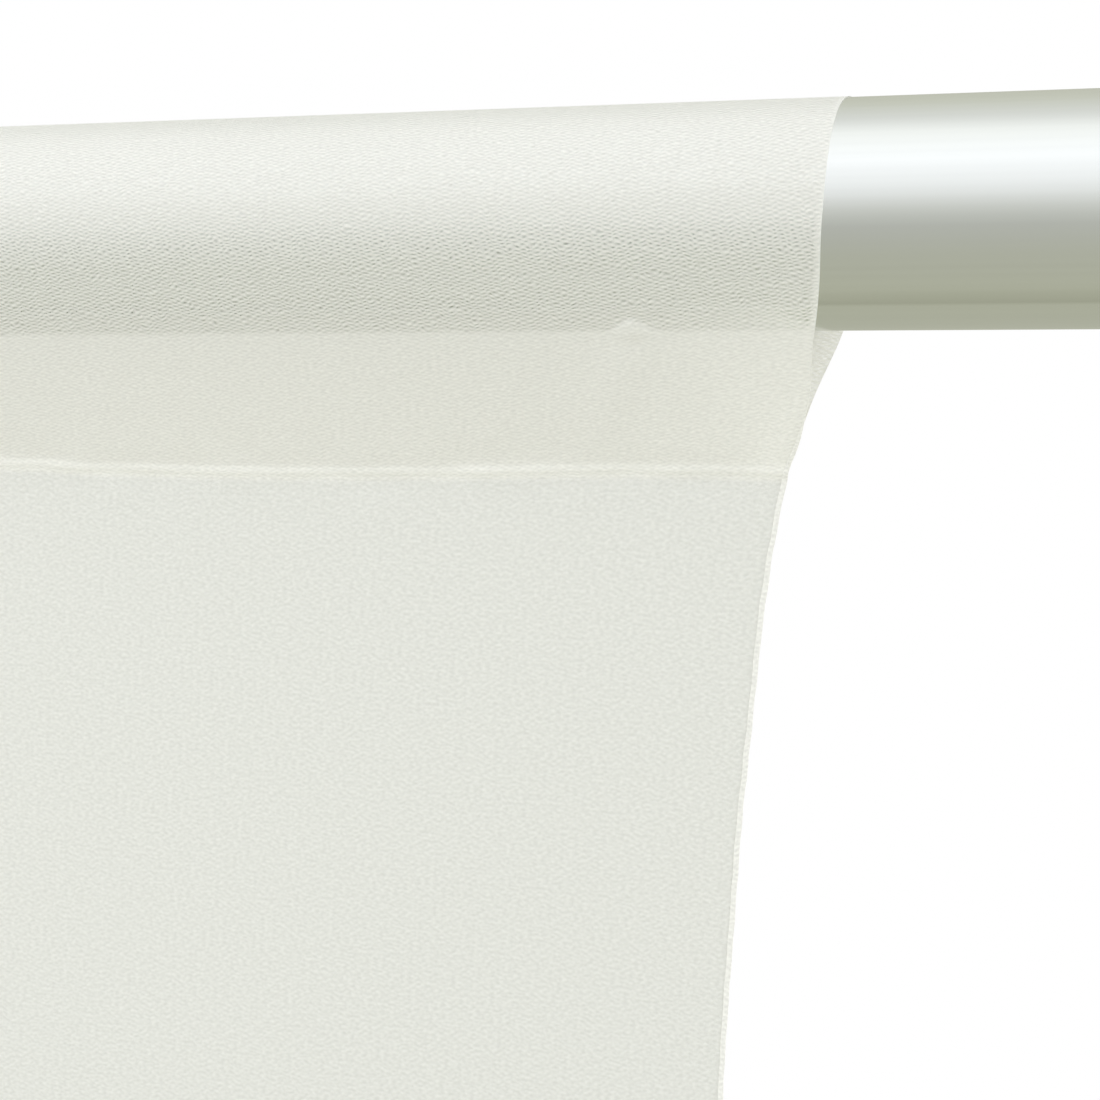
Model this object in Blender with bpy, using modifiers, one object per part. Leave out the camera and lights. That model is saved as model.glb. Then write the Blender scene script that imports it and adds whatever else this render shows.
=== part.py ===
"""Ceiling drape panel hanging from its pole.

One length of ivory stretch knit hangs from a plain aluminium pole. The top of the cloth goes up the
front of the pole, over it and down the back, and is sewn to itself below, which makes the pocket.
Below the pocket the sides draw in, because the knit stretches under its own weight, and they let out
again towards the hem, where little weight is left.

Metres, +Z up, X along the pole, front of the panel towards -Y. The origin is the middle of the pole's
axis.
"""

import math

import bmesh
import bpy

MM = 0.001

# Pole, in millimetres
POLE_DIAMETER = 38.1
POLE_LENGTH = 1830.0
POLE_SIDES = 48
POLE_END_CHAMFER = 0.8

# Cloth, in millimetres
CLOTH_WIDTH = 1524.0
CLOTH_THICKNESS = 1.0
CLOTH_GAP = 0.3
SEAM_DEPTH = 44.0
HEM_DEPTH = 3031.0
HEM_HEIGHT = 25.0
HEM_THICKNESS = 2.0
HEM_STEP = 1.5
EDGE_ROLL_THICKNESS = 1.8

# How far each side edge is drawn in, in millimetres, at a depth below the pole's axis
DRAWN_IN = (
    # depth, drawn in
    (-20.0, 0.0),
    (-4.0, 0.3),
    (10.0, 1.6),
    (20.0, 3.8),
    (31.0, 7.6),
    (44.0, 10.6),
    (65.0, 14.3),
    (90.0, 16.9),
    (125.0, 19.8),
    (155.0, 21.3),
    (300.0, 26.0),
    (700.0, 31.0),
    (1300.0, 29.0),
    (2200.0, 18.0),
    (3060.0, 7.0),
)
DRAW_IN_POWER = 4

# Soft upright waves of the lower cloth: share of the height, width of one wave in millimetres, start in radians
WAVES = (
    (0.52, 640.0, 0.5),
    (0.30, 410.0, 2.3),
    (0.18, 1150.0, 4.0),
)
WAVE_HEIGHT = 15.0
WAVE_START = 150.0
HEM_UNEVEN = 5.0

# Mesh fineness
HEM_ROWS = 2
WRAP_STEPS = 22
STRAND_STEPS = 4
FIRST_ROW_STEP = 8.0
ROW_GROWTH = 1.3
LAST_ROW_STEP = 180.0
EDGE_COLUMN_STEP = 4.0
COLUMN_GROWTH = 1.7
MIDDLE_COLUMN_STEP = 42.0


def remove_everything():
    for old in list(bpy.data.objects):
        bpy.data.objects.remove(old, do_unlink=True)


def new_collection(name):
    made = bpy.data.collections.new(name)
    bpy.context.scene.collection.children.link(made)
    return made


def material(name, colour, roughness, metallic):
    made = bpy.data.materials.new(name)
    made.use_nodes = True
    shader = made.node_tree.nodes["Principled BSDF"]
    shader.inputs["Base Color"].default_value = (*colour, 1.0)
    shader.inputs["Roughness"].default_value = roughness
    shader.inputs["Metallic"].default_value = metallic
    return made


def smooth_step(share):
    share = min(max(share, 0.0), 1.0)
    return share * share * (3.0 - 2.0 * share)


def read_curve(table, at):
    """Value of a smooth curve through the table's rows, level beyond its ends."""
    last = len(table) - 1
    slopes = []
    for i in range(len(table)):
        before = table[max(i - 1, 0)]
        after = table[min(i + 1, last)]
        slopes.append((after[1] - before[1]) / (after[0] - before[0]))
    if at <= table[0][0]:
        return table[0][1]
    for i in range(last):
        start, end = table[i], table[i + 1]
        if at <= end[0]:
            span = end[0] - start[0]
            t = (at - start[0]) / span
            from_start = (2 * t**3 - 3 * t**2 + 1) * start[1] + (3 * t**2 - 2 * t**3) * end[1]
            from_slopes = (t**3 - 2 * t**2 + t) * slopes[i] + (t**3 - t**2) * slopes[i + 1]
            return from_start + from_slopes * span
    return table[last][1]


def graded_steps(length, first, growth, largest):
    """Places from 0 to length whose spacing grows from first to largest."""
    places = [0.0]
    step = first
    while length - places[-1] > 1.5 * step:
        places.append(places[-1] + step)
        step = min(step * growth, largest)
    places.append(length)
    return places


def column_places():
    """Places across the flat cloth, close together at its two side edges."""
    half = CLOTH_WIDTH / 2
    from_edge = graded_steps(half, EDGE_COLUMN_STEP, COLUMN_GROWTH, MIDDLE_COLUMN_STEP)
    left = [place - half for place in from_edge]
    right = [half - place for place in reversed(from_edge[:-1])]
    return left + right


def tail_depths():
    """Depths of the single layer's rows, from the hem's fold up to just under the pocket seam."""
    hem_top = HEM_DEPTH - HEM_HEIGHT
    free_length = hem_top - HEM_STEP - SEAM_DEPTH
    below_seam = graded_steps(free_length, FIRST_ROW_STEP, ROW_GROWTH, LAST_ROW_STEP)
    depths = [SEAM_DEPTH + place for place in below_seam[1:]]
    return [HEM_DEPTH, hem_top] + list(reversed(depths))


def pocket_loop():
    """Y and depth of the pocket's rows: seam, front strand, round the pole, back strand, near the seam."""
    clear = POLE_DIAMETER / 2 + CLOTH_GAP
    half_step = (math.pi / 2 + math.asin(clear / SEAM_DEPTH)) / WRAP_STEPS
    radius = clear / math.cos(half_step) + CLOTH_THICKNESS / 2
    wedge = math.asin(radius / SEAM_DEPTH)
    strand = radius / math.tan(wedge)
    rows = []
    for i in range(STRAND_STEPS):
        along = strand * i / STRAND_STEPS
        rows.append((-along * math.sin(wedge), SEAM_DEPTH - along * math.cos(wedge)))
    for i in range(WRAP_STEPS + 1):
        angle = -wedge + (math.pi + 2 * wedge) * i / WRAP_STEPS
        rows.append((-radius * math.cos(angle), -radius * math.sin(angle)))
    for i in range(STRAND_STEPS - 1, 0, -1):
        along = strand * i / STRAND_STEPS
        rows.append((along * math.sin(wedge), SEAM_DEPTH - along * math.cos(wedge)))
    return rows


def wave(across, depth):
    """How far the hanging cloth stands in front of or behind the pole's plane."""
    grown = smooth_step((depth - WAVE_START) / (HEM_DEPTH - WAVE_START))
    height = sum(share * math.sin(2 * math.pi * across / width + start) for share, width, start in WAVES)
    return WAVE_HEIGHT * grown * height


def hanging_point(across, behind, depth):
    """Where a point of the flat cloth hangs, in metres."""
    from_middle = across / (CLOTH_WIDTH / 2)
    pull = read_curve(DRAWN_IN, depth) * abs(from_middle) ** DRAW_IN_POWER
    inward = -math.copysign(pull, across)
    low = smooth_step((depth - WAVE_START) / (HEM_DEPTH - WAVE_START))
    uneven = HEM_UNEVEN * low * math.sin(3.1 * from_middle + 0.8)
    x = across + inward
    y = behind + wave(across, depth)
    return (x * MM, y * MM, -(depth + uneven) * MM)


def cloth_thickness(row, column, tail_rows, columns):
    """Thickness at a point of the sheet: two layers in the hem, a roll along the side edges below the seam."""
    if row < HEM_ROWS:
        return HEM_THICKNESS
    at_edge = column in (0, columns - 1)
    if at_edge and row < tail_rows:
        return EDGE_ROLL_THICKNESS
    return CLOTH_THICKNESS


def build_drape_panel(target):
    """The cloth's middle surface, thickened: single layer, then the pocket looped back to the seam."""
    columns = column_places()
    tail = [(0.0, depth) for depth in tail_depths()]
    loop = pocket_loop()
    rows = tail + loop
    seam_row = len(tail)

    sheet = bmesh.new()
    grid = [[sheet.verts.new(hanging_point(across, *row)) for across in columns] for row in rows]
    grid.append(grid[seam_row])
    for lower, upper in zip(grid[:-1], grid[1:]):
        for i in range(len(columns) - 1):
            sheet.faces.new((lower[i], lower[i + 1], upper[i + 1], upper[i]))
    mesh = bpy.data.meshes.new("drape_panel")
    sheet.to_mesh(mesh)
    sheet.free()

    panel = bpy.data.objects.new("drape_panel", mesh)
    target.objects.link(panel)
    thickness = panel.vertex_groups.new(name="thickness")
    for point in range(len(mesh.vertices)):
        row, column = divmod(point, len(columns))
        here = cloth_thickness(row, column, len(tail), len(columns))
        thickness.add([point], here / HEM_THICKNESS, "REPLACE")

    solid = panel.modifiers.new("cloth thickness", "SOLIDIFY")
    solid.solidify_mode = "NON_MANIFOLD"
    solid.nonmanifold_thickness_mode = "EVEN"
    solid.thickness = HEM_THICKNESS * MM
    solid.offset = 0.0
    solid.vertex_group = "thickness"
    return panel


def build_pole(target):
    """A plain round tube, closed flat at both ends."""
    bpy.ops.mesh.primitive_cylinder_add(
        vertices=POLE_SIDES,
        radius=POLE_DIAMETER / 2 * MM,
        depth=POLE_LENGTH * MM,
        rotation=(0.0, math.pi / 2, 0.0),
    )
    pole = bpy.context.object
    pole.name = "pole"
    pole.data.name = "pole"
    for holder in list(pole.users_collection):
        holder.objects.unlink(pole)
    target.objects.link(pole)
    rim = pole.modifiers.new("end chamfer", "BEVEL")
    rim.width = POLE_END_CHAMFER * MM
    rim.segments = 1
    rim.limit_method = "ANGLE"
    rim.angle_limit = math.radians(60)
    pole.data.shade_smooth()
    pole.data.set_sharp_from_angle(angle=math.radians(30))
    return pole


def main():
    remove_everything()
    target = new_collection("ceiling_drape_panel")
    knit = material("ivory_stretch_knit", (0.76, 0.77, 0.68), 0.85, 0.0)
    aluminium = material("satin_aluminium", (0.78, 0.79, 0.77), 0.28, 1.0)
    build_drape_panel(target).data.materials.append(knit)
    build_pole(target).data.materials.append(aluminium)


main()
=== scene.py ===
"""Ivory stretch-knit drape panel in its pocket on a satin aluminium pole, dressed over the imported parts.

Sizes are millimetres of the real thing and become metres on the meshes. X runs along the pole, the
front of the panel looks towards -Y, and depth is counted downwards from the pole's axis.
"""

import math
from bisect import bisect_left
from collections import namedtuple

import bmesh
import bpy
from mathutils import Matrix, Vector, noise


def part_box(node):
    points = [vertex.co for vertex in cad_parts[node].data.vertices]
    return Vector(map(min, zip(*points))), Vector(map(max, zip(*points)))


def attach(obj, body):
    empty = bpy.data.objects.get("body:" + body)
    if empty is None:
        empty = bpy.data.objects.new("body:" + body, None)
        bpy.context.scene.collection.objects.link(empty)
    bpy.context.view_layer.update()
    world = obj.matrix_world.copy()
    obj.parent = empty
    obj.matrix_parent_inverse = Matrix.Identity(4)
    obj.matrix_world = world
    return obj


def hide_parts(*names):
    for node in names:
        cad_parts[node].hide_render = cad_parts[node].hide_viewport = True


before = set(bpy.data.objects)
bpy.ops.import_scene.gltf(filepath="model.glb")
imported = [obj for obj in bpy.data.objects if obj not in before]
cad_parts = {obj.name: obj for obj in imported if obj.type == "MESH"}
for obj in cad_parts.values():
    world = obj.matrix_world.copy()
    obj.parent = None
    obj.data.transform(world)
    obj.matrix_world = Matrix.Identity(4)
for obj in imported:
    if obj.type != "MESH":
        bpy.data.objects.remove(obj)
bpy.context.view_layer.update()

MM = 0.001
panel_low, panel_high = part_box("drape_panel")
pole_low, pole_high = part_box("pole")

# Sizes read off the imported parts
POLE_RADIUS = (pole_high[2] - pole_low[2]) / 2 / MM
POLE_HALF_LENGTH = (pole_high[0] - pole_low[0]) / 2 / MM
HALF_WIDTH = (panel_high[0] - panel_low[0]) / 2 / MM

# Cloth, as sewn and hung
HEM_DEPTH = 3031.0
HEM_HEIGHT = 25.0
SEAM_DEPTH = 44.0
OFF_THE_POLE = 0.12
LAYER_GAP = 0.9
# The pocket's cut edge: its height, the share of it below the seam, its place as a share of the gap between
# the layers, and how far above the seam the back starts to curve into it
TURNED_EDGE = 1.3
TURNED_EDGE_BELOW = 0.25
TURNED_EDGE_PLACE = 0.55
BACK_CURVE_START = 1.0

# How far the side edge is drawn in at a depth: on the front, and on the back of the pocket
FRONT_DRAWN_IN = (
    (-20.0, 0.0),
    (-4.0, 0.3),
    (10.0, 1.6),
    (17.5, 2.9),
    (22.5, 4.0),
    (28.8, 4.8),
    (34.6, 6.5),
    (39.0, 8.3),
    (44.0, 10.6),
    (65.0, 14.3),
    (90.0, 16.9),
    (125.0, 19.8),
    (155.0, 21.3),
    (300.0, 26.0),
    (700.0, 31.0),
    (1300.0, 29.0),
    (2200.0, 18.0),
    (3060.0, 7.0),
)
BACK_DRAWN_IN = (
    (-20.0, 0.0),
    (-4.0, 0.3),
    (10.0, 1.6),
    (20.0, 3.8),
    (31.0, 7.6),
    (44.0, 10.6),
    (3060.0, 10.6),
)
DRAW_IN_POWER = 4

# Upright waves of the lower cloth: share of the height, width of one wave, start in radians
WAVES = (
    (0.52, 640.0, 0.5),
    (0.30, 410.0, 2.3),
    (0.18, 1150.0, 4.0),
)
WAVE_HEIGHT = 15.0
WAVE_START = 150.0
# The hem's lower line: its height, and its wave's turn over half the width and start in radians
HEM_UNEVEN = 5.0
HEM_UNEVEN_TURN = 3.1
HEM_UNEVEN_START = 0.8

# Low ripples of the cloth: it is taut down to a depth and then slackens, and they are lower in the pocket
TAUT_DEPTH = 12.0
TAUT_FADE = 22.0
RIPPLE_IN_POCKET = 0.35
RIPPLE_GROWTH = 300.0
LONG_RIPPLE_STRETCH = 0.35
# Uneven forms: height or share, reach in millimetres, seed of the noise
SMALL_RIPPLE = (0.16, 34.0, 1.0)
LONG_RIPPLE = (0.45, 75.0, 2.0)
SEAM_PUCKERS = (0.30, 7.5, 3.0)
BULGE_UNEVEN = (0.8, 9.0, 4.0)
SEAM_DRIFT = (0.25, 14.0, 5.0)
EDGE_RIPPLE_UNEVEN = (0.6, 11.0, 7.0)
EDGE_DRIFT = (0.2, 23.0, 8.0)
ROLL_UNEVEN = (0.12, 9.0, 9.0)
STITCH_SLOPE = (0.12, 3.0, 11.0)

# Rolled side edges
ROLL_RADIUS = 0.55
ROLL_TURN = math.radians(330)
ROLL_STEPS = 12
ROLL_FLATNESS = 0.28
ROLL_TIGHTENING = 0.12
# The pocket holds them, so they roll up less and tighter there, and from a depth on they are let go
POCKET_ROLL_RADIUS = 0.1
POCKET_ROLL_SHARE = 0.4
FREED_DEPTH = 26.0
FREED_FADE = 20.0
EDGE_RIPPLE = 0.10
EDGE_RIPPLE_PITCH = 8.2
EDGE_RIPPLE_WIDTH = 5.0
EDGE_RIPPLE_MEAN = 0.6
EDGE_RIPPLE_IN_POCKET = 0.2
# Above the seam's end the back's side edge is tucked in behind the front's
BACK_TUCK = 0.9
BACK_TUCK_HEIGHT = 4.0
BACK_TUCK_WIDTH = 12.0

# Pocket seam
SEAM_SAG = 0.65
SEAM_SAG_WIDTH = 160.0
SEAM_SAG_LOW_POINT = 655.0
SEAM_SAG_HEIGHT = 16.0
SEAM_BULGE = 0.28
SEAM_BULGE_DEPTH = 43.2
SEAM_BULGE_HEIGHT = 1.1
PUCKER_HEIGHT = 7.0

# Stitches of the seam and the hem
STITCH_PITCH = 2.6
STITCH_LENGTH = 2.1
STITCH_SIDES = 8
STITCH_RINGS = 5
THREAD_DIAMETER = 0.24
STITCH_PROUD = THREAD_DIAMETER / 4
STITCHES_FROM_EDGE = 1.5
POCKET_STITCHES_ABOVE_SEAM = 1.3
POCKET_STITCHES_OUT = 0.45
HEM_STITCHES_BELOW_CUT = 2.5
HEM_STITCHES_DRAWN_IN = 7.5

# The small pleat caught at the bottom of the pole, and how softly its sides, top and foot end
PLEAT_X = 728.3
PLEAT_TOP = 17.2
PLEAT_FOOT = 19.6
PLEAT_HALF_WIDTH = 5.1
PLEAT_SIDE_FADE = 0.8
PLEAT_TOP_FADE = 0.12
PLEAT_FOOT_FADE = 1.5
PLEAT_HEIGHT = 0.35
PLEAT_RIDGE_WIDTH = 2.5
# The slack fold that runs down from the pleat
FOLD_HEIGHT = 0.3
FOLD_WIDTH = 4.5
FOLD_LEAN = 0.45
FOLD_GROWTH = 5.0
FOLD_END = 30.0
FOLD_END_FADE = 12.0
# The corner where the side edge is turned in above the end of the seam
CORNER_TOP = 27.0
CORNER_WIDTH = 6.2
CORNER_GROWTH = 8.0
CORNER_SIDE_FADE = 0.7

# Pole
POLE_SIDES = 192
RIM_CHAMFER = 0.8

# Steps round the hem's fold, the pole and the turn of the pocket's cut edge
HEM_FOLD_STEPS = 8
POLE_STEPS = 120
EDGE_TURN_STEPS = 6
# Height of a row, by what it lies near to, and how it grows away from there
FINE_STEP = 1.25
FINE_DEPTH = 60.0
ROW_GROWTH = 40.0
HEM_FOLD_ROW = 0.25
HEM_FOLD_REACH = 1.5
SEAM_ROW = 0.4
SEAM_ROWS_REACH = 3.0
HEM_ROW = 1.2
HEM_ROW_GROWTH = 9.0
WIDEST_ROW = 32.0
# Width of a column, by its distance from the side edge in the photograph
EDGE_STEP = 0.6
EDGE_REACH = 8.0
FINE_WIDTH = 170.0
FINE_STEP_GAIN = 1.2
SIDE_STEP = 3.0
SIDE_STEP_GROWTH = 8.0
MIDDLE_STEP = 22.0
# The same from the other side edge
FAR_EDGE_STEP = 0.9
FAR_STEP_GROWTH = 6.0
# Both at the pleat
PLEAT_STEP = 0.5
PLEAT_DEPTH = 18.6
PLEAT_ROWS_REACH = 2.6
PLEAT_FROM_EDGE = 30.5
PLEAT_COLUMNS_REACH = 7.0


def smooth_step(share):
    """0 up to 0, 1 from 1 on, and smooth between."""
    share = min(max(share, 0.0), 1.0)
    return share * share * (3.0 - 2.0 * share)


def rise(value, start, over):
    """0 up to the start and 1 once the value is further by what is given as over, which may be negative."""
    return smooth_step((value - start) / over)


def bell(distance, width):
    return math.exp(-((distance / width) ** 2))


def wander(x, y, uneven):
    """A smooth, seeded, uneven value around 0."""
    height, reach, seed = uneven
    return height * noise.noise(Vector((x / reach, y / reach, seed)))


def read_curve(table, at):
    """Value of a smooth curve through the table's rows, level beyond its ends."""
    last = len(table) - 1
    if at <= table[0][0]:
        return table[0][1]
    if at >= table[last][0]:
        return table[last][1]
    slopes = []
    for i in range(len(table)):
        before = table[max(i - 1, 0)]
        after = table[min(i + 1, last)]
        slopes.append((after[1] - before[1]) / (after[0] - before[0]))
    i = max(k for k in range(last) if table[k][0] <= at)
    start, end = table[i], table[i + 1]
    span = end[0] - start[0]
    t = (at - start[0]) / span
    from_start = (2 * t**3 - 3 * t**2 + 1) * start[1] + (3 * t**2 - 2 * t**3) * end[1]
    from_slopes = (t**3 - 2 * t**2 + t) * slopes[i] + (t**3 - t**2) * slopes[i + 1]
    return from_start + from_slopes * span


# Materials


def srgb(code):
    """Linear colour of an sRGB hex value."""
    parts = [int(code[i : i + 2], 16) / 255 for i in (1, 3, 5)]
    return (*[p / 12.92 if p <= 0.04045 else ((p + 0.055) / 1.055) ** 2.4 for p in parts], 1.0)


def add_node(tree, kind, inputs=None, **settings):
    """Adds a node with its own settings, and fills its inputs with values or with links."""
    node = tree.nodes.new(kind)
    for name, value in settings.items():
        setattr(node, name, value)
    for name, value in (inputs or {}).items():
        if isinstance(value, bpy.types.NodeSocket):
            tree.links.new(value, node.inputs[name])
        else:
            node.inputs[name].default_value = value
    return node


def new_material(name):
    made = bpy.data.materials.new(name)
    made.use_nodes = True
    made.node_tree.nodes.clear()
    return made, made.node_tree


# Nearly all values of a noise texture lie between these two
NOISE_LOW = 0.3
NOISE_HIGH = 0.7

# The knit: slits lie in a brick layout, a slit and its bridge take SLIT_PITCH across and COURSE_PITCH down
SLIT_PITCH = 2.2
COURSE_PITCH = 0.72
SLIT_LEAN = 0.32
SLIT_RISE = 0.05
# How far the slits stray from that layout, across and down, and over what distance they do
STRAY_ACROSS = 1.5
STRAY_DOWN = 1.2
STRAY_REACH = 2.2
# A slit is a bundle of fine gaps between filaments, a whole number of them to half a course
GAPS_TO_HALF_A_COURSE = 4.0
# Share of clear gap at a slit's middle on the pole and below the seam, how far slits reach over their
# bridges, how uneven they are, and how softly a gap's edge ends
SLIT_OPEN = 0.63
HUNG_SLIT_OPEN = 0.12
SLIT_REACH = 0.95
SLIT_UNEVEN = 1.1
GAP_EDGE = 0.02
# Single filaments are too fine to show, so bundles of them are drawn as dashes: length and height of a dash,
# and how much darker the darkest is
FILAMENT_LENGTH = 0.9
FILAMENT_HEIGHT = 0.42
FILAMENT_TONE = 0.10
# Painted shade in the slits' hollows: how much darker the yarn is painted beside the slits than on its loops,
# in the pocket
SLIT_PAINTED_SHADE = 0.055
# Relief of the yarn: how much deeper the slits are than the loops, and its strength and height
RELIEF_OF_SLITS = 0.4
RELIEF_STRENGTH = 0.4
RELIEF_HEIGHT = 0.12
# Share of the light that goes through one layer, and through folded or seamed layers. Cloth passes into
# the second kind where its slits are closed further than this
GLOW_SHARE = 0.22
LAYERED_GLOW_SHARE = 0.12
LAYERED_FROM = 0.82
# How much more goes through the pocket's back where it stands clear of the front, and how far in that reaches
CLEAR_GLOW = 0.55
CLEAR_REACH = 6.0
FILAMENT_IOR = 1.6
FILAMENT_GLOSS = 0.8
FILAMENT_ROUGHNESS = 0.45
# Yarn in the pocket and below it
POCKET_COLOUR = "#F9F8F3"
HUNG_COLOUR = "#E2E2DD"

# Below the seam the cloth's own weight draws the courses apart. The hem and the rolled edges are painted
# lighter
# than the hanging cloth: painted light on the hem's two layers, and a painted highlight along the rolls
HUNG_COURSE_STRETCH = 1.3
HUNG_FADE = 1.2
HEM_PAINTED_LIGHT = 0.5
ROLL_PAINTED_HIGHLIGHT = 0.9
# How far the slits are pressed shut where the pole bears the cloth, and how much less on its very top
PRESSED_SHUT = 0.6
PRESSED_DEPTH = 5.0
PRESSED_FADE = 9.0
TOP_DRAWN_OPEN = 0.6
TOP_DEPTH = -14.0
TOP_FADE = 3.5
# The same in the slacker cloth below the pole, and on the back, where they open again near the side edge
SLACK_DEPTH = 18.6
SLACK_FADE = 1.2
SLACK_FRONT_SHUT = 0.7
SLACK_BACK_SHUT = 0.8
BACK_EDGE_OPEN = 0.5
BACK_EDGE_REACH = 5.0
# And where a second layer lies behind: in the roll once it has turned this far in radians, at the pleat, in
# the corner, and in a narrow strip along the pocket's side edge
ROLL_SHUT = 0.95
ROLL_SHUT_TURN = 1.0
PLEAT_SHUT = 0.8
CORNER_SHUT = 0.85
STRIP_SHUT = 0.75
STRIP_WIDTH = 1.0
STRIP_FADE = 0.6
# The seam and the hem shut them altogether
SEAM_SHUT_FROM = 40.9
SEAM_SHUT_FADE = 1.5
SEAM_SHUT_TO = 44.2
SEAM_SHUT_END_FADE = 1.0
HEM_SHUT_FADE = 1.0


def stretch_knit():
    """Fine polyester stretch knit: matt ivory filament yarn with small slits between its loops.

    The slits let what lies behind show through, and the yarn itself glows softly with light from behind, most
    where the pocket's back stands clear of its front. Folded, rolled and turned-in cloth has its slits closed
    by the layer below. Below the seam the cloth hangs under its own weight, which draws the yarn thinner, so
    that it looks greyer, and the slits narrower. The yarn is painted darker beside its slits as painted shade
    in their hollows, and the hem and the rolled edges are painted lighter, as painted light and highlight.
    """
    made, tree = new_material("ivory_polyester_stretch_knit")
    flat = add_node(tree, "ShaderNodeUVMap", uv_map="flat_cloth_mm").outputs["UV"]
    closed = add_node(tree, "ShaderNodeAttribute", attribute_name="closed").outputs["Fac"]
    hung_and_painted_light = add_node(tree, "ShaderNodeAttribute", attribute_name="hung_and_painted_light").outputs["Fac"]
    clear = add_node(tree, "ShaderNodeAttribute", attribute_name="clear").outputs["Fac"]

    # Loops are never quite even, so the slits stray from their rows
    stray = add_node(tree, "ShaderNodeTexNoise", {"Vector": flat, "Scale": 1 / STRAY_REACH, "Detail": 1.0})
    moved = add_node(
        tree,
        "ShaderNodeVectorMath",
        {0: stray.outputs["Color"], 1: (STRAY_ACROSS, STRAY_DOWN, 0.0), 2: flat},
        operation="MULTIPLY_ADD",
    )
    across_turns = (2 * math.pi / SLIT_PITCH, 2 * math.pi / SLIT_PITCH * SLIT_LEAN, 0.0)
    down_turns = (-2 * math.pi / COURSE_PITCH * SLIT_RISE, 2 * math.pi / COURSE_PITCH, 0.0)
    phases, waves = [], []
    for turns in (across_turns, down_turns):
        phase = add_node(
            tree, "ShaderNodeVectorMath", {0: moved.outputs["Vector"], 1: turns}, operation="DOT_PRODUCT"
        )
        phases.append(phase.outputs["Value"])
        waves.append(add_node(tree, "ShaderNodeMath", {0: phases[-1]}, operation="COSINE").outputs[0])
    layout = add_node(tree, "ShaderNodeMath", {0: waves[0], 1: waves[1]}, operation="MULTIPLY").outputs[0]
    fine = add_node(tree, "ShaderNodeMath", {0: phases[1], 1: GAPS_TO_HALF_A_COURSE}, operation="MULTIPLY")
    gap_side = add_node(tree, "ShaderNodeMath", {0: fine.outputs[0]}, operation="SINE")
    off_gap = add_node(tree, "ShaderNodeMath", {0: gap_side.outputs[0]}, operation="ABSOLUTE")

    # Filaments lie along the courses as short dashes
    stretched = add_node(
        tree,
        "ShaderNodeVectorMath",
        {0: flat, 1: (FILAMENT_LENGTH, FILAMENT_HEIGHT, 1.0)},
        operation="DIVIDE",
    )
    filament = add_node(
        tree, "ShaderNodeTexNoise", {"Vector": stretched.outputs["Vector"], "Scale": 1.0, "Detail": 0.5}
    ).outputs["Fac"]

    # Gaps open by the layout and by the chance of the filaments, and closed cloth has none
    chance = add_node(
        tree,
        "ShaderNodeMath",
        {0: filament, 1: SLIT_UNEVEN, 2: SLIT_REACH - SLIT_UNEVEN / 2},
        operation="MULTIPLY_ADD",
    )
    spread = add_node(tree, "ShaderNodeMath", {0: layout, 1: chance.outputs[0]}, operation="ADD")
    # Scaled so that SLIT_OPEN is the share of clear gap at a slit's middle
    widest = math.pi / 2 / (1 + SLIT_REACH)
    openness = add_node(
        tree,
        "ShaderNodeMapRange",
        {"Value": hung_and_painted_light, "To Min": SLIT_OPEN * widest, "To Max": HUNG_SLIT_OPEN * widest},
    )
    open_share = add_node(tree, "ShaderNodeMath", {0: 1.0, 1: closed}, operation="SUBTRACT")
    left_open = add_node(
        tree,
        "ShaderNodeMath",
        {0: openness.outputs["Result"], 1: open_share.outputs[0]},
        operation="MULTIPLY",
    )
    width = add_node(
        tree, "ShaderNodeMath", {0: spread.outputs[0], 1: left_open.outputs[0]}, operation="MULTIPLY"
    )
    inside = add_node(
        tree, "ShaderNodeMath", {0: width.outputs[0], 1: off_gap.outputs[0]}, operation="SUBTRACT"
    )
    see_through = add_node(
        tree, "ShaderNodeMapRange", {"Value": inside.outputs[0], "From Min": 0.0, "From Max": GAP_EDGE}
    )

    # The yarn's colour, with a random dash of tone to each filament, and painted shade beside the slits that
    # leaves the loops lighter
    colour = add_node(
        tree, "ShaderNodeMix", {0: hung_and_painted_light, 6: srgb(POCKET_COLOUR), 7: srgb(HUNG_COLOUR)}, data_type="RGBA"
    )
    dash = add_node(
        tree,
        "ShaderNodeMapRange",
        {
            "Value": filament,
            "From Min": NOISE_LOW,
            "From Max": NOISE_HIGH,
            "To Min": 1 - FILAMENT_TONE,
            "To Max": 1.0,
        },
    )
    # Painted shade: in the pocket the yarn is darker beside the slits and lighter on its loops
    painted_slit_shade = add_node(tree, "ShaderNodeMapRange", {"Value": hung_and_painted_light, "To Min": -SLIT_PAINTED_SHADE, "To Max": 0.0})
    tone = add_node(
        tree,
        "ShaderNodeMath",
        {0: layout, 1: painted_slit_shade.outputs["Result"], 2: dash.outputs["Result"]},
        operation="MULTIPLY_ADD",
    )
    dashes_and_painted_shade = add_node(
        tree, "ShaderNodeVectorMath", {0: colour.outputs[2], "Scale": tone.outputs[0]}, operation="SCALE"
    )
    raised = add_node(
        tree, "ShaderNodeMath", {0: layout, 1: -RELIEF_OF_SLITS, 2: filament}, operation="MULTIPLY_ADD"
    )
    bumps = add_node(
        tree,
        "ShaderNodeBump",
        {"Height": raised.outputs[0], "Strength": RELIEF_STRENGTH, "Distance": RELIEF_HEIGHT * MM},
    )
    face = add_node(
        tree,
        "ShaderNodeBsdfPrincipled",
        {
            "Base Color": dashes_and_painted_shade.outputs["Vector"],
            "Roughness": FILAMENT_ROUGHNESS,
            "IOR": FILAMENT_IOR,
            "Specular IOR Level": FILAMENT_GLOSS,
            "Sheen Weight": 0.1,
            "Sheen Roughness": 0.4,
            "Normal": bumps.outputs["Normal"],
        },
    )

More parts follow.
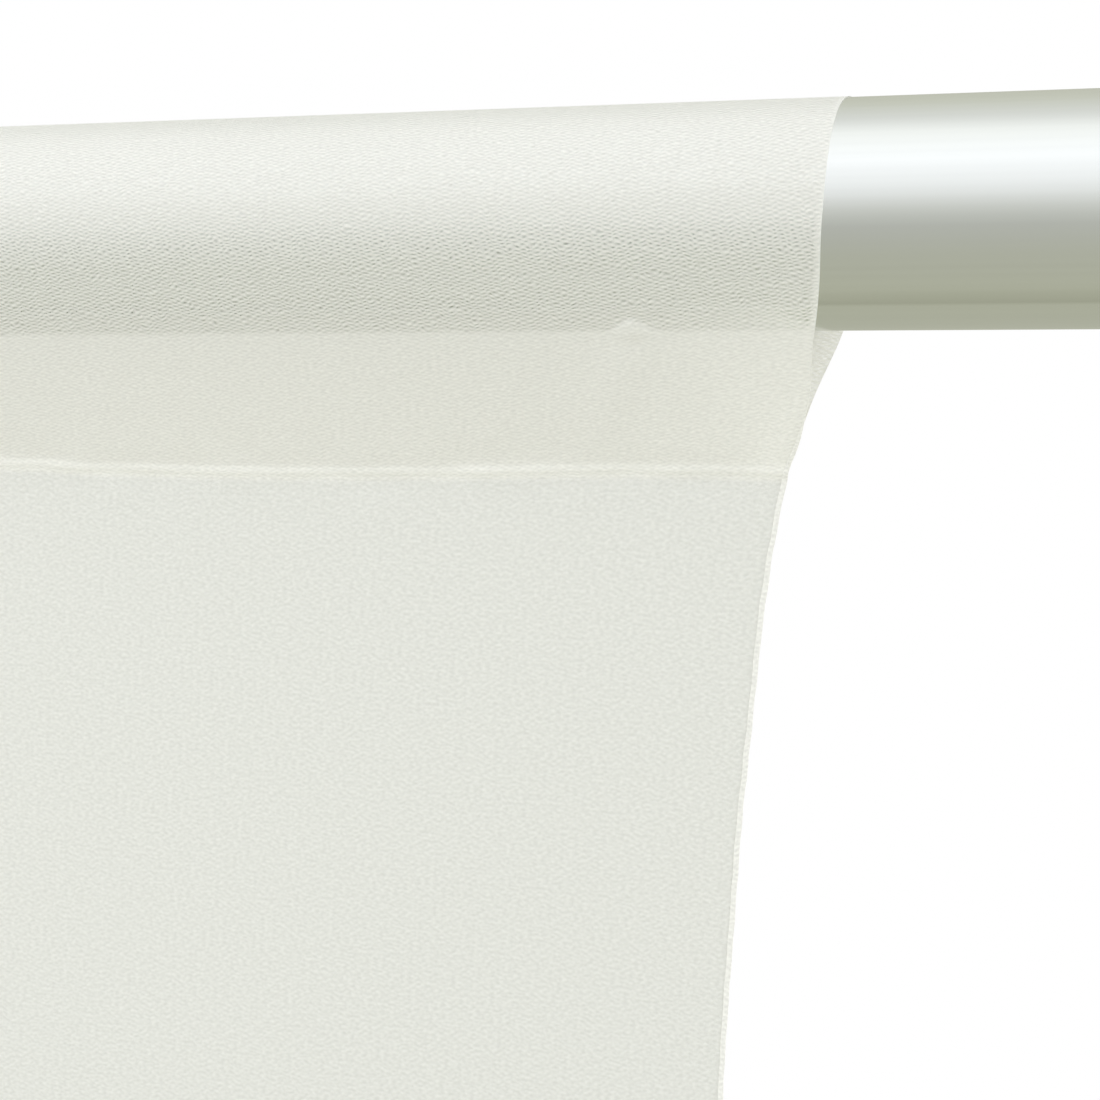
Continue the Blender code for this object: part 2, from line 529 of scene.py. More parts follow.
    # Light from behind
    glow = add_node(tree, "ShaderNodeBsdfTranslucent", {"Color": dashes_and_painted_shade.outputs["Vector"]})
    share = add_node(
        tree,
        "ShaderNodeMapRange",
        {"Value": closed, "From Min": LAYERED_FROM, "To Min": GLOW_SHARE, "To Max": LAYERED_GLOW_SHARE},
    )
    lit_through = add_node(
        tree,
        "ShaderNodeMath",
        {0: clear, 1: CLEAR_GLOW, 2: share.outputs["Result"]},
        operation="MULTIPLY_ADD",
    )
    cloth = add_node(
        tree,
        "ShaderNodeMixShader",
        {0: lit_through.outputs[0], 1: face.outputs["BSDF"], 2: glow.outputs["BSDF"]},
    )
    gap = add_node(tree, "ShaderNodeBsdfTransparent")
    sheer = add_node(
        tree,
        "ShaderNodeMixShader",
        {0: see_through.outputs["Result"], 1: cloth.outputs["Shader"], 2: gap.outputs["BSDF"]},
    )
    add_node(tree, "ShaderNodeOutputMaterial", {"Surface": sheer.outputs["Shader"]})
    return made


METAL_COLOURS = ("#E3E5E3", "#E9EBE9")
# Lines from the die, about a millimetre wide and most of a metre long, as patterns to the metre
DIE_LINE_SCALE = (1.2, 900.0, 900.0)
DIE_LINE_RELIEF = 0.02
# Cloudy patches of the anodising, as patterns to the metre, and the least and most rough of them
BLOOM_SCALE = 22.0
SMOOTHEST = 0.17
ROUGHEST = 0.21
# A painted reflection, a darker band on the pole's underside: the height below the pole's axis of its sharp
# lower line, how fast it ends below that, and the height from where the metal is painted darker towards it
PAINTED_REFLECTION_LINE = -14.95
PAINTED_REFLECTION_CUTOFF = 0.5
PAINTED_REFLECTION_START = -12.6
PAINTED_REFLECTION_COLOUR = "#D6D8D4"


def anodised_aluminium():
    """Drawn tube, satin anodised: soft mirror-like bands, faint lines from the die, and a painted reflection
    as a darker band with a sharp lower line on its underside.
    """
    made, tree = new_material("satin_anodised_aluminium")
    place = add_node(tree, "ShaderNodeTexCoord").outputs["Object"]
    along = add_node(tree, "ShaderNodeMapping", {"Vector": place, "Scale": DIE_LINE_SCALE})
    lines = add_node(
        tree, "ShaderNodeTexNoise", {"Vector": along.outputs["Vector"], "Scale": 1.0, "Detail": 3.0}
    ).outputs["Fac"]
    bloom = add_node(tree, "ShaderNodeTexNoise", {"Vector": place, "Scale": BLOOM_SCALE, "Detail": 2.0})
    darker, lighter = [srgb(code) for code in METAL_COLOURS]
    tone = add_node(tree, "ShaderNodeMix", {0: lines, 6: darker, 7: lighter}, data_type="RGBA")
    height = add_node(tree, "ShaderNodeSeparateXYZ", {0: place}).outputs["Z"]
    # Painted reflection: the metal is painted darker down to a sharp line low on the pole's underside, and
    # not below it
    reflection_darkening = add_node(
        tree,
        "ShaderNodeMapRange",
        {"Value": height, "From Min": PAINTED_REFLECTION_START * MM, "From Max": PAINTED_REFLECTION_LINE * MM},
    )
    reflection_cutoff = add_node(
        tree,
        "ShaderNodeMapRange",
        {"Value": height, "From Min": (PAINTED_REFLECTION_LINE - PAINTED_REFLECTION_CUTOFF) * MM, "From Max": PAINTED_REFLECTION_LINE * MM},
    )
    painted_reflection = add_node(
        tree,
        "ShaderNodeMath",
        {0: reflection_darkening.outputs["Result"], 1: reflection_cutoff.outputs["Result"]},
        operation="MULTIPLY",
    )
    with_painted_reflection = add_node(
        tree,
        "ShaderNodeMix",
        {0: painted_reflection.outputs[0], 6: tone.outputs[2], 7: srgb(PAINTED_REFLECTION_COLOUR)},
        data_type="RGBA",
    )
    satin = add_node(
        tree,
        "ShaderNodeMapRange",
        {
            "Value": bloom.outputs["Fac"],
            "From Min": NOISE_LOW,
            "From Max": NOISE_HIGH,
            "To Min": SMOOTHEST,
            "To Max": ROUGHEST,
        },
    )
    drawn = add_node(
        tree, "ShaderNodeBump", {"Height": lines, "Strength": 0.05, "Distance": DIE_LINE_RELIEF * MM}
    )
    metal = add_node(
        tree,
        "ShaderNodeBsdfPrincipled",
        {
            "Base Color": with_painted_reflection.outputs[2],
            "Metallic": 1.0,
            "Roughness": satin.outputs["Result"],
            "Normal": drawn.outputs["Normal"],
        },
    )
    add_node(tree, "ShaderNodeOutputMaterial", {"Surface": metal.outputs["BSDF"]})
    return made


THREAD_COLOURS = ("#E2E2D6", "#F1F1E8")
# The thread's twist: the scale that puts its ridges 0.45 mm apart along the thread, and their relief
TWIST_SCALE = 1400.0
TWIST_RELIEF = 0.03


def spun_thread():
    """Spun polyester sewing thread, a shade lighter than the knit, with its twist as fine slanting ridges."""
    made, tree = new_material("ivory_spun_polyester_thread")
    place = add_node(tree, "ShaderNodeTexCoord").outputs["Object"]
    twist = add_node(
        tree,
        "ShaderNodeTexWave",
        {"Vector": place, "Scale": TWIST_SCALE, "Distortion": 0.4},
        bands_direction="DIAGONAL",
    ).outputs["Fac"]
    darker, lighter = [srgb(code) for code in THREAD_COLOURS]
    tone = add_node(tree, "ShaderNodeMix", {0: twist, 6: darker, 7: lighter}, data_type="RGBA")
    ridges = add_node(
        tree, "ShaderNodeBump", {"Height": twist, "Strength": 0.4, "Distance": TWIST_RELIEF * MM}
    )
    body = add_node(
        tree,
        "ShaderNodeBsdfPrincipled",
        {
            "Base Color": tone.outputs[2],
            "Roughness": 0.7,
            "Specular IOR Level": 0.3,
            "Sheen Weight": 0.2,
            "Normal": ridges.outputs["Normal"],
        },
    )
    add_node(tree, "ShaderNodeOutputMaterial", {"Surface": body.outputs["BSDF"]})
    return made


PAPER_COLOURS = ("#BFBFBA", "#C3C3BE")
# Flecks of the paper, as patterns to the metre
FLECK_SCALE = 60.0
# The paper fades out between these distances from its middle, in metres
PAPER_FADE = (4.5, 8.9)


def studio_paper():
    """Pale matt background paper under the panel, fading out at its rim."""
    made, tree = new_material("pale_matt_paper")
    place = add_node(tree, "ShaderNodeTexCoord").outputs["Object"]
    fleck = add_node(tree, "ShaderNodeTexNoise", {"Vector": place, "Scale": FLECK_SCALE})
    darker, lighter = [srgb(code) for code in PAPER_COLOURS]
    tone = add_node(
        tree, "ShaderNodeMix", {0: fleck.outputs["Fac"], 6: darker, 7: lighter}, data_type="RGBA"
    )
    paper = add_node(tree, "ShaderNodeBsdfPrincipled", {"Base Color": tone.outputs[2], "Roughness": 0.9})
    from_middle = add_node(tree, "ShaderNodeVectorMath", {0: place}, operation="LENGTH")
    fade = add_node(
        tree,
        "ShaderNodeMapRange",
        {"Value": from_middle.outputs["Value"], "From Min": PAPER_FADE[0], "From Max": PAPER_FADE[1]},
        interpolation_type="SMOOTHSTEP",
    )
    nothing = add_node(tree, "ShaderNodeBsdfTransparent")
    ground = add_node(
        tree,
        "ShaderNodeMixShader",
        {0: fade.outputs["Result"], 1: paper.outputs["BSDF"], 2: nothing.outputs["BSDF"]},
    )
    add_node(tree, "ShaderNodeOutputMaterial", {"Surface": ground.outputs["Shader"]})
    return made


# Cloth

# One row of the sheet: its length from the first row, its place in the side view, which way is outwards
# there, and how far the side edge is drawn in
Row = namedtuple("Row", "along behind depth out_behind out_up drawn_in")


def arc(centre, radius, start, end, steps):
    """Points (behind, depth) on an arc; the angle starts at the front and turns over the top."""
    points = []
    for i in range(steps + 1):
        angle = start + (end - start) * i / steps
        points.append((centre[0] - radius * math.cos(angle), centre[1] - radius * math.sin(angle)))
    return points


def side_view():
    """The sheet seen from its side, as points (behind, depth) in order from one cut edge to the other.

    It starts at the hem's cut edge, turns up at the hem's fold, runs up the front, over the pole and down
    the back, and ends in the narrow turned-in edge that the pocket seam catches.
    """
    fold = LAYER_GAP / 2
    radius = POLE_RADIUS + OFF_THE_POLE
    wedge = math.asin(radius / SEAM_DEPTH)
    inside = LAYER_GAP * TURNED_EDGE_PLACE
    edge_centre = ((LAYER_GAP + inside) / 2, SEAM_DEPTH + TURNED_EDGE * TURNED_EDGE_BELOW)
    points = [(LAYER_GAP, HEM_DEPTH - HEM_HEIGHT)]
    points += arc((fold, HEM_DEPTH - fold), fold, math.pi, 2 * math.pi, HEM_FOLD_STEPS)
    points += [(0.0, SEAM_DEPTH)]
    points += arc((0.0, 0.0), radius, -wedge, math.pi + wedge, POLE_STEPS)
    points += [(LAYER_GAP, SEAM_DEPTH - BACK_CURVE_START)]
    points += arc(edge_centre, (LAYER_GAP - inside) / 2, math.pi, 2 * math.pi, EDGE_TURN_STEPS)
    points += [(inside, SEAM_DEPTH - TURNED_EDGE)]
    return points


def spaced(points, spacing):
    """The same line with its points a chosen distance apart; spacing(depth, behind) gives that distance."""
    lengths = [0.0]
    for a, b in zip(points[:-1], points[1:]):
        lengths.append(lengths[-1] + math.dist(a, b))

    def at(length):
        length = min(length, lengths[-1])
        i = max(bisect_left(lengths, length, 0, len(lengths) - 1) - 1, 0)
        share = (length - lengths[i]) / (lengths[i + 1] - lengths[i])
        return tuple(a + (b - a) * share for a, b in zip(points[i], points[i + 1]))

    places = [0.0]
    while places[-1] < lengths[-1]:
        behind, depth = at(places[-1])
        places.append(places[-1] + spacing(depth, behind))
    scale = lengths[-1] / places[-1]
    return [(place * scale, *at(place * scale)) for place in places]


def row_spacing(depth, behind):
    """Fine rows near the pocket, the folds and the hem, wide ones on the plain cloth between."""
    from_pocket = max(depth - FINE_DEPTH, 0.0)
    from_hem = max(HEM_DEPTH - depth, 0.0)
    if from_hem < HEM_FOLD_REACH:
        return HEM_FOLD_ROW
    if abs(depth - SEAM_DEPTH) < SEAM_ROWS_REACH:
        return SEAM_ROW
    if behind < 0 and abs(depth - PLEAT_DEPTH) < PLEAT_ROWS_REACH:
        return PLEAT_STEP
    return min(FINE_STEP + from_pocket / ROW_GROWTH, HEM_ROW + from_hem / HEM_ROW_GROWTH, WIDEST_ROW)


def sheet_rows():
    """The sheet's rows in order, and the number of the one on top of the pole."""
    places = spaced(side_view(), row_spacing)
    top = min(range(len(places)), key=lambda i: places[i][2])
    rows = []
    for i, (along, behind, depth) in enumerate(places):
        before, after = places[max(i - 1, 0)], places[min(i + 1, len(places) - 1)]
        step = math.hypot(after[1] - before[1], after[2] - before[2])
        out_behind = (after[2] - before[2]) / step
        out_up = (after[1] - before[1]) / step
        table = FRONT_DRAWN_IN if i <= top else BACK_DRAWN_IN
        rows.append(Row(along, behind, depth, out_behind, out_up, read_curve(table, depth)))
    return rows, top


def near_column(from_edge):
    """Width of a column on the half that the photograph shows."""
    if from_edge < EDGE_REACH:
        return EDGE_STEP
    if abs(from_edge - PLEAT_FROM_EDGE) < PLEAT_COLUMNS_REACH:
        return PLEAT_STEP
    if from_edge < FINE_WIDTH:
        return FINE_STEP + from_edge / FINE_WIDTH * FINE_STEP_GAIN
    return min(SIDE_STEP + (from_edge - FINE_WIDTH) / SIDE_STEP_GROWTH, MIDDLE_STEP)


def far_column(from_edge):
    """Width of a column on the other half."""
    return min(FAR_EDGE_STEP + from_edge / FAR_STEP_GROWTH, MIDDLE_STEP)


def half_columns(column):
    """Places from a side edge to the middle of the cloth; column(from_edge) gives the width between two."""
    places = [HALF_WIDTH]
    while places[-1] > 0:
        places.append(places[-1] - column(HALF_WIDTH - places[-1]))
    return places[:-1]


def sheet_columns():
    """Places across the flat cloth as (across, turn of the rolled edge in radians)."""
    turns = [ROLL_TURN * (i + 1) / ROLL_STEPS for i in range(ROLL_STEPS)]
    left_roll = [(-HALF_WIDTH, turn) for turn in reversed(turns)]
    left = [(-place, 0.0) for place in half_columns(far_column)]
    right = [(place, 0.0) for place in reversed(half_columns(near_column))]
    right_roll = [(HALF_WIDTH, turn) for turn in turns]
    return left_roll + left + right + right_roll


def wave(across, depth):
    """How far the hanging cloth stands in front of or behind the pole's plane."""
    grown = rise(depth, WAVE_START, HEM_DEPTH - WAVE_START)
    height = sum(share * math.sin(2 * math.pi * across / width + start) for share, width, start in WAVES)
    return WAVE_HEIGHT * grown * height


def hem_dip(across):
    """How far the hem's lower line dips at a place across."""
    return HEM_UNEVEN * math.sin(HEM_UNEVEN_TURN * across / HALF_WIDTH + HEM_UNEVEN_START)


def seam_dip(x):
    """How far the seam line dips at a place across, because the pocket was sewn by eye."""
    slow = math.cos(2 * math.pi * (x - SEAM_SAG_LOW_POINT) / SEAM_SAG_WIDTH)
    return SEAM_SAG * slow + wander(x, 0.0, SEAM_DRIFT)


def relief(x, row):
    """Low relief of the sheet, outwards: ripples of the hanging cloth, and the seam's padding and puckers."""
    free = rise(row.depth, TAUT_DEPTH, TAUT_FADE)
    ripple = wander(x, row.along, SMALL_RIPPLE) + wander(x, row.along * LONG_RIPPLE_STRETCH, LONG_RIPPLE)
    ripple *= RIPPLE_IN_POCKET + (1 - RIPPLE_IN_POCKET) * rise(row.depth, SEAM_DEPTH, RIPPLE_GROWTH)
    pucker = bell(row.depth - SEAM_DEPTH, PUCKER_HEIGHT) * wander(x, row.along, SEAM_PUCKERS)
    padding = SEAM_BULGE * bell(row.depth - SEAM_BULGE_DEPTH, SEAM_BULGE_HEIGHT)
    padding *= 1 + wander(x, 0.0, BULGE_UNEVEN)
    return free * (ripple + pucker + padding)


def pleat(x, row, on_front):
    """1 inside the pleat, 0 outside it."""
    if not on_front:
        return 0.0
    down = (row.depth - PLEAT_TOP) / (PLEAT_FOOT - PLEAT_TOP)
    reach = PLEAT_HALF_WIDTH * min(max(down, 0.0), 1.0)
    inside = smooth_step(0.5 + (reach - abs(x - PLEAT_X)) / PLEAT_SIDE_FADE)
    return inside * smooth_step(down / PLEAT_TOP_FADE) * (1 - rise(row.depth, PLEAT_FOOT, PLEAT_FOOT_FADE))


def soft_fold(x, row, on_front):
    """Height of the slack fold that runs down from the pleat towards the seam, leaning inwards."""
    if not on_front:
        return 0.0
    middle = PLEAT_X - FOLD_LEAN * (row.depth - PLEAT_FOOT)
    grown = rise(row.depth, PLEAT_FOOT, FOLD_GROWTH) * (1 - rise(row.depth, FOLD_END, FOLD_END_FADE))
    return FOLD_HEIGHT * grown * bell(x - middle, FOLD_WIDTH)


def turned_in_corner(from_edge, row, on_front):
    """1 where the side edge is turned in above the end of the seam, 0 elsewhere."""
    if not on_front or row.depth > SEAM_DEPTH or row.depth < CORNER_TOP:
        return 0.0
    width = CORNER_WIDTH * rise(row.depth, CORNER_TOP, CORNER_GROWTH)
    return smooth_step(0.5 + (width - from_edge) / CORNER_SIDE_FADE)


def place_along_pole(across, row, on_front):
    """Where a place of the flat cloth lies in X: drawn in with its side edge, which ripples a little."""
    side = math.copysign(1.0, across)
    from_edge = HALF_WIDTH - abs(across)
    x = across - side * row.drawn_in * abs(across / HALF_WIDTH) ** DRAW_IN_POWER
    ripple = EDGE_RIPPLE * math.sin(2 * math.pi * row.along / EDGE_RIPPLE_PITCH)
    ripple *= EDGE_RIPPLE_MEAN + wander(row.along, side, EDGE_RIPPLE_UNEVEN)
    ripple *= EDGE_RIPPLE_IN_POCKET + (1 - EDGE_RIPPLE_IN_POCKET) * rise(row.depth, FREED_DEPTH, FREED_FADE)
    x += side * (ripple + wander(row.along, side, EDGE_DRIFT)) * bell(from_edge, EDGE_RIPPLE_WIDTH)
    if not on_front:
        tuck = bell(row.depth - SEAM_DEPTH, BACK_TUCK_HEIGHT) * bell(from_edge, BACK_TUCK_WIDTH)
        x -= side * BACK_TUCK * tuck
    return x


def rolled_edge(turn, side, row):
    """Turn and radius of the roll at a row, for a turn of the fully rolled edge."""
    freed = rise(row.depth, FREED_DEPTH, FREED_FADE)
    turn *= POCKET_ROLL_SHARE + (1 - POCKET_ROLL_SHARE) * freed
    radius = POCKET_ROLL_RADIUS + (ROLL_RADIUS - POCKET_ROLL_RADIUS) * freed
    radius *= (1 + wander(row.along, side, ROLL_UNEVEN)) * (1 - ROLL_TIGHTENING * turn / math.pi)
    return turn, radius


def in_hem(row):
    """1 in the hem's layers, 0 above them."""
    return smooth_step((row.depth - HEM_DEPTH + HEM_HEIGHT) / HEM_SHUT_FADE + 0.5)


def slits_closed(from_edge, row, on_front, rolled, pleated):
    """How far the slits are closed, from 0 to 1: by folds, seam and hem, on the pole, and in slack cloth."""
    in_corner = turned_in_corner(from_edge, row, on_front)
    folded = max(ROLL_SHUT * rolled, PLEAT_SHUT * pleated, CORNER_SHUT * in_corner)
    in_seam = rise(row.depth, SEAM_SHUT_FROM, SEAM_SHUT_FADE)
    in_seam *= 1 - rise(row.depth, SEAM_SHUT_TO, SEAM_SHUT_END_FADE)
    pressed = PRESSED_SHUT * rise(row.depth, PRESSED_DEPTH, -PRESSED_FADE)
    pressed *= 1 - TOP_DRAWN_OPEN * rise(row.depth, TOP_DEPTH, -TOP_FADE)
    strip = slack = 0.0
    if row.depth < SEAM_DEPTH and on_front:
        strip = STRIP_SHUT * rise(from_edge, STRIP_WIDTH, -STRIP_FADE)
        slack = SLACK_FRONT_SHUT * rise(row.depth, SLACK_DEPTH, SLACK_FADE)
    elif row.depth < SEAM_DEPTH:
        slack = SLACK_BACK_SHUT * (1 - BACK_EDGE_OPEN * bell(from_edge, BACK_EDGE_REACH))
    return max(folded, strip, in_seam, in_hem(row), pressed, slack)


def build_cloth(knit):
    """The whole panel as one sheet: hem, single layer, pocket round the pole and turned-in edge.

    Its UV map is the flat cloth in millimetres, with the courses below the seam drawn apart. The attributes
    tell the knit how far its slits are closed, where it hangs by its own weight and is greyer, except on the
    hem and the rolled edges, which are painted lighter as painted light and highlight, and where the pocket's
    back stands clear of the front.
    """
    rows, top = sheet_rows()
    columns = sheet_columns()
    last_row, last_column = len(rows) - 1, len(columns) - 1
    bpy.ops.object.select_all(action="DESELECT")
    bpy.ops.mesh.primitive_grid_add(x_subdivisions=last_column, y_subdivisions=last_row, size=1.0)
    cloth = bpy.context.object
    cloth.name = "knit_panel"
    mesh = cloth.data
    seam_along = min(rows[:top], key=lambda row: abs(row.depth - SEAM_DEPTH)).along
    flat = []
    marks = {"closed": [], "hung_and_painted_light": [], "clear": []}
    for vertex in mesh.vertices:
        column = round((vertex.co.x + 0.5) * last_column)
        number = round((vertex.co.y + 0.5) * last_row)
        row = rows[number]
        across, turn = columns[column]
        on_front = number <= top
        side = math.copysign(1.0, across)
        from_edge = HALF_WIDTH - abs(across)

        turn, radius = rolled_edge(turn, side, row)
        x = place_along_pole(across, row, on_front) + side * radius * math.sin(turn)
        pleated = pleat(x, row, on_front)
        lift = (
            relief(x, row)
            + ROLL_FLATNESS * radius * (1 - math.cos(turn))
            + PLEAT_HEIGHT * pleated * bell(x - PLEAT_X, PLEAT_RIDGE_WIDTH)
            + soft_fold(x, row, on_front)
        )
        dip = hem_dip(across) * rise(row.depth, WAVE_START, HEM_DEPTH - WAVE_START)
        dip += seam_dip(x) * bell(row.depth - SEAM_DEPTH, SEAM_SAG_HEIGHT)
        y = row.behind + row.out_behind * lift + wave(across, row.depth)
        z = -(row.depth + dip) + row.out_up * lift
        vertex.co = (x * MM, y * MM, z * MM)

        rolled = smooth_step(turn / ROLL_SHUT_TURN)
        marks["closed"].append(slits_closed(from_edge, row, on_front, rolled, pleated))
        # The hem and the rolled edges are painted lighter: painted light on the hem's layers, a painted
        # highlight along the rolls
        hung_and_painted_light = rise(row.depth, SEAM_DEPTH, HUNG_FADE) * (1 - HEM_PAINTED_LIGHT * in_hem(row))
        marks["hung_and_painted_light"].append(hung_and_painted_light * (1 - ROLL_PAINTED_HIGHLIGHT * rolled))
        clear = 0.0 if on_front else bell(from_edge, CLEAR_REACH) * smooth_step(row.depth / SLACK_DEPTH)
        marks["clear"].append(clear)
        courses = max(row.along, seam_along) + min(row.along - seam_along, 0.0) / HUNG_COURSE_STRETCH
        flat.append((across + side * radius * turn, courses))

    for name, values in marks.items():
        mesh.attributes.new(name, "FLOAT", "POINT").data.foreach_set("value", values)
    layer = mesh.uv_layers.active
    layer.name = "flat_cloth_mm"
    for loop in mesh.loops:
        layer.data[loop.index].uv = flat[loop.vertex_index]
    mesh.materials.clear()
    mesh.materials.append(knit)
    mesh.shade_smooth()
    return cloth


def build_stitches(name, thread, depth, behind, drawn_in, dip):
    """A row of straight machine stitches along the pole's direction, every stitch a short round bridge.

    behind(x) and dip(x) say how far a stitch lies behind the pole's axis and below the row's depth.
    """
    bpy.ops.object.select_all(action="DESELECT")
    bpy.ops.mesh.primitive_uv_sphere_add(
        segments=STITCH_SIDES, ring_count=STITCH_RINGS, radius=0.5, rotation=(0, math.pi / 2, 0)
    )
    stitches = bpy.context.object
    bpy.ops.object.transform_apply(location=False, rotation=True, scale=False)
    shape = bmesh.new()
    reach = HALF_WIDTH - drawn_in - STITCHES_FROM_EDGE
    for i in range(int(2 * reach / STITCH_PITCH)):
        x = -reach + STITCH_PITCH * (i + 0.5)
        first = len(shape.verts)
        shape.from_mesh(stitches.data)
        shape.verts.ensure_lookup_table()
        slope = wander(x, 0.0, STITCH_SLOPE)
        for vertex in shape.verts[first:]:
            along = vertex.co.x * STITCH_LENGTH
            vertex.co = (
                (x + along) * MM,
                (behind(x) + vertex.co.y * THREAD_DIAMETER) * MM,
                (-(depth + dip(x)) + slope * along + vertex.co.z * THREAD_DIAMETER) * MM,
            )
    shape.to_mesh(stitches.data)
    shape.free()
    stitches.name = name
    stitches.data.materials.clear()
    stitches.data.materials.append(thread)
    stitches.data.shade_smooth()
    return stitches


def build_pole(metal):
    """The pole as a fine round tube, closed flat at both ends, with the rims eased by a small chamfer."""
    bpy.ops.object.select_all(action="DESELECT")
    bpy.ops.mesh.primitive_cylinder_add(
        vertices=POLE_SIDES,
        radius=POLE_RADIUS * MM,
        depth=2 * POLE_HALF_LENGTH * MM,
        rotation=(0.0, math.pi / 2, 0.0),
    )
    pole = bpy.context.object
    pole.name = "pole_tube"
    bpy.ops.object.transform_apply(location=True, rotation=True, scale=True)
    rim = pole.modifiers.new("rim chamfer", "BEVEL")
    rim.width = RIM_CHAMFER * MM
    rim.segments = 2
    rim.limit_method = "ANGLE"
    rim.angle_limit = math.radians(60)
    bpy.ops.object.modifier_apply(modifier=rim.name)
    bpy.ops.object.shade_smooth_by_angle(angle=math.radians(30))
    pole.data.materials.clear()
    pole.data.materials.append(metal)
    return pole


# Light, floor and camera

# The studio by angle in degrees: brightness, and warmth, which is what its blue lacks. 0 is straight in
# front, 90 overhead, 180 behind and -90 below
MIDDLE_ROOM = (
    (-180, 0.50, 0.16),
    (-90, 0.50, 0.20),
    (-45, 0.50, 0.15),
    (-15, 0.53, 0.06),
    (0, 0.68, 0.04),
    (20, 1.00, -0.02),
    (50, 1.23, -0.04),
    (80, 1.13, 0.00),
    (100, 0.83, 0.02),
    (130, 0.68, 0.12),
    (180, 0.50, 0.16),
)
ENDS_ROOM = (
    (-180, 1.15, 0.05),
    (-60, 1.18, 0.06),
    (0, 1.60, 0.00),
    (35, 1.95, -0.04),
    (60, 1.80, -0.02),
    (125, 1.10, 0.04),
    (180, 1.15, 0.05),
)
# A colour ramp holds values up to 1, so the room's brightness is kept as a share of this
ROOM_PEAK = 4.0
# The room's light is a touch green
ROOM_GREEN = 1.015
# Where the middle of the room passes into its ends, as the share of a direction that lies along the pole
ENDS_START = 0.42
ENDS_FULL = 0.58


def room_ramp(tree, turn, name, room):
    """A colour ramp round the room, from behind by way of below and in front, overhead and behind again."""
    ramp = add_node(tree, "ShaderNodeValToRGB", {"Fac": turn}, name=name)
    stops = ramp.color_ramp.elements
    stops[0].position = 0.0
    stops[1].position = 1.0
    for degrees, _, _ in room[1:-1]:
        stops.new((degrees + 180) / 360)
    for stop, (_, level, warmth) in zip(stops, room):
        part = level / ROOM_PEAK
        stop.color = (part, part * ROOM_GREEN, part * (1 - warmth), 1.0)
    return ramp.outputs["Color"]


def build_studio():
    """White room with one very long soft light above the front and brighter ends, seen as plain white."""
    world = bpy.data.worlds.new("white_studio")
    bpy.context.scene.world = world
    world.use_nodes = True
    tree = world.node_tree
    tree.nodes.clear()
    way = add_node(tree, "ShaderNodeTexCoord").outputs["Generated"]
    parts = add_node(tree, "ShaderNodeSeparateXYZ", {0: way}).outputs
    forward = add_node(tree, "ShaderNodeMath", {0: parts["Y"], 1: -1.0}, operation="MULTIPLY")
    angle = add_node(tree, "ShaderNodeMath", {0: parts["Z"], 1: forward.outputs[0]}, operation="ARCTAN2")
    turn = add_node(
        tree,
        "ShaderNodeMapRange",
        {"Value": angle.outputs[0], "From Min": -math.pi, "From Max": math.pi},
    ).outputs["Result"]
    middle = room_ramp(tree, turn, "middle", MIDDLE_ROOM)
    ends = room_ramp(tree, turn, "ends", ENDS_ROOM)
    sideways = add_node(tree, "ShaderNodeMath", {0: parts["X"]}, operation="ABSOLUTE")
    side = add_node(
        tree,
        "ShaderNodeMapRange",
        {"Value": sideways.outputs[0], "From Min": ENDS_START, "From Max": ENDS_FULL},
        interpolation_type="SMOOTHSTEP",
    )
    both = add_node(
        tree, "ShaderNodeMix", {0: side.outputs["Result"], 6: middle, 7: ends}, data_type="RGBA"
    )
    lit = add_node(tree, "ShaderNodeBackground", {"Color": both.outputs[2], "Strength": ROOM_PEAK})
    white = add_node(tree, "ShaderNodeBackground", {"Color": (1.0, 1.0, 1.0, 1.0), "Strength": 1.0})
    ray = add_node(tree, "ShaderNodeLightPath")
    seen = add_node(
        tree,
        "ShaderNodeMixShader",
        {0: ray.outputs["Is Camera Ray"], 1: lit.outputs["Background"], 2: white.outputs["Background"]},
    )
    add_node(tree, "ShaderNodeOutputWorld", {"Surface": seen.outputs["Shader"]})
    bpy.context.scene.view_settings.view_transform = "Standard"


FLOOR_CLEARANCE = 90.0
FLOOR_RADIUS = 9000.0
FLOOR_SIDES = 128


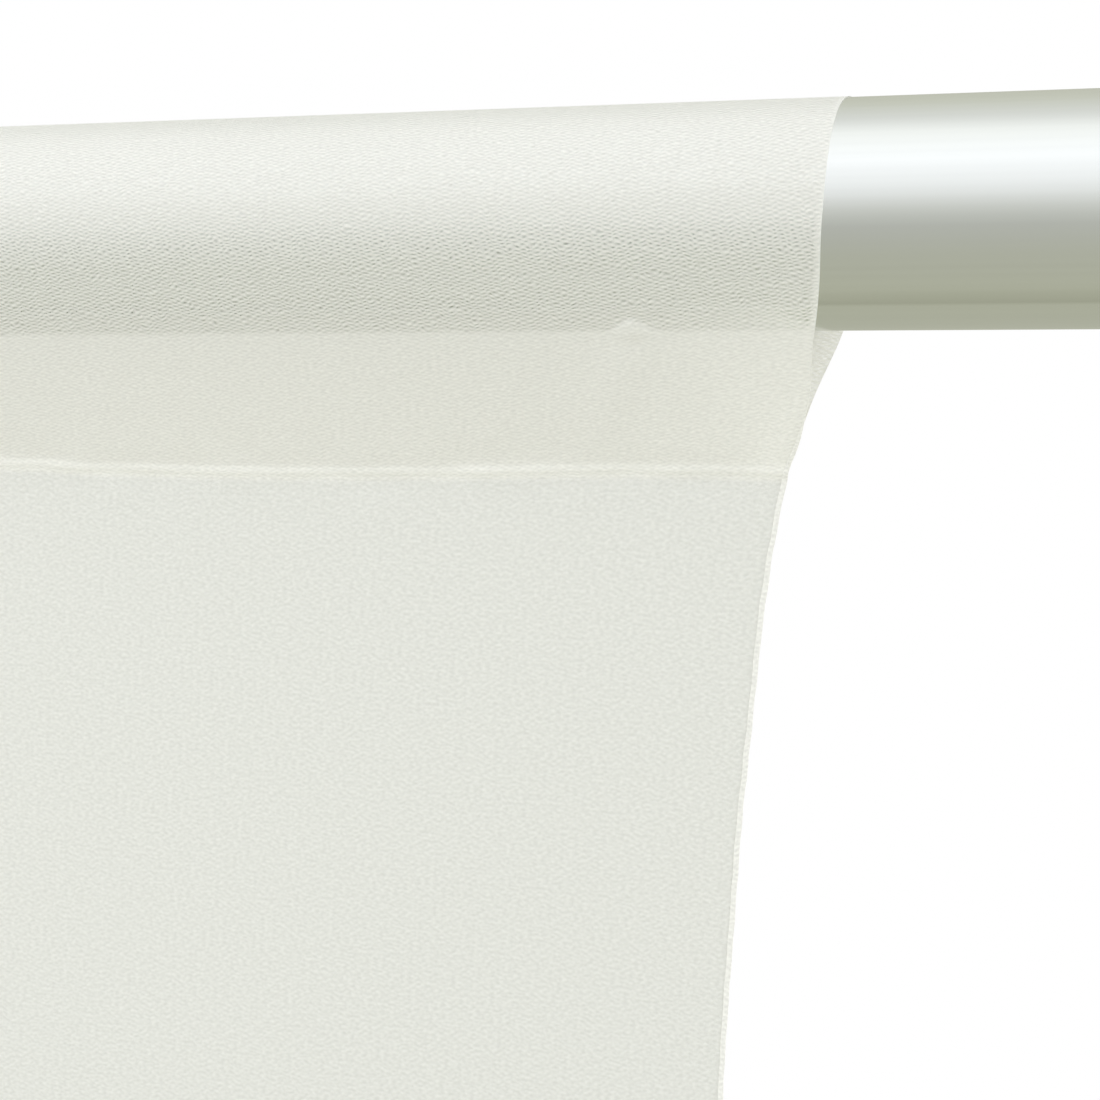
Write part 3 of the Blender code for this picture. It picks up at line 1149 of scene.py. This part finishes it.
def build_floor():
    """A round sheet of background paper below the panel."""
    bpy.ops.object.select_all(action="DESELECT")
    bpy.ops.mesh.primitive_circle_add(vertices=FLOOR_SIDES, radius=FLOOR_RADIUS * MM, fill_type="NGON")
    floor = bpy.context.object
    floor.name = "studio_floor"
    for vertex in floor.data.vertices:
        vertex.co.z = panel_low[2] - FLOOR_CLEARANCE * MM
    floor.data.materials.append(studio_paper())
    # The paper is only looked at: the room's own light already holds what comes up from below
    floor.visible_diffuse = False
    floor.visible_glossy = False
    floor.visible_shadow = False


# The camera as worked out from the pole's outline in the photograph
CAMERA_PLACE = (842.3, -400.5, -25.9)
CAMERA_TURN = math.radians(18.28)
CAMERA_TILT = math.radians(4.16)
CAMERA_LENS = 80.0
CAMERA_SENSOR = 36.0
CAMERA_NEAREST = 20.0
CAMERA_FARTHEST = 60000.0


def build_camera():
    """The camera at the photograph's place, with its frame."""
    data = bpy.data.cameras.new("photograph_view")
    data.lens = CAMERA_LENS
    data.sensor_width = CAMERA_SENSOR
    data.clip_start = CAMERA_NEAREST * MM
    data.clip_end = CAMERA_FARTHEST * MM
    camera = bpy.data.objects.new("photograph_view", data)
    camera.location = [value * MM for value in CAMERA_PLACE]
    camera.rotation_euler = (math.pi / 2 - CAMERA_TILT, 0.0, CAMERA_TURN)
    bpy.context.scene.collection.objects.link(camera)
    bpy.context.scene.camera = camera


def main():
    build_camera()
    build_studio()
    build_floor()
    knit = stretch_knit()
    thread = spun_thread()

    panel = build_cloth(knit)
    pole = build_pole(anodised_aluminium())
    seam = build_stitches(
        "pocket_stitches",
        thread,
        SEAM_DEPTH - POCKET_STITCHES_ABOVE_SEAM,
        lambda x: -POCKET_STITCHES_OUT - STITCH_PROUD,
        read_curve(FRONT_DRAWN_IN, SEAM_DEPTH),
        seam_dip,
    )
    hem = build_stitches(
        "hem_stitches",
        thread,
        HEM_DEPTH - HEM_HEIGHT + HEM_STITCHES_BELOW_CUT,
        lambda x: wave(x, HEM_DEPTH - HEM_HEIGHT) - STITCH_PROUD,
        HEM_STITCHES_DRAWN_IN,
        hem_dip,
    )
    for piece in (panel, pole, seam, hem):
        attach(piece, "root")
    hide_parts("drape_panel")
    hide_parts("pole")


main()
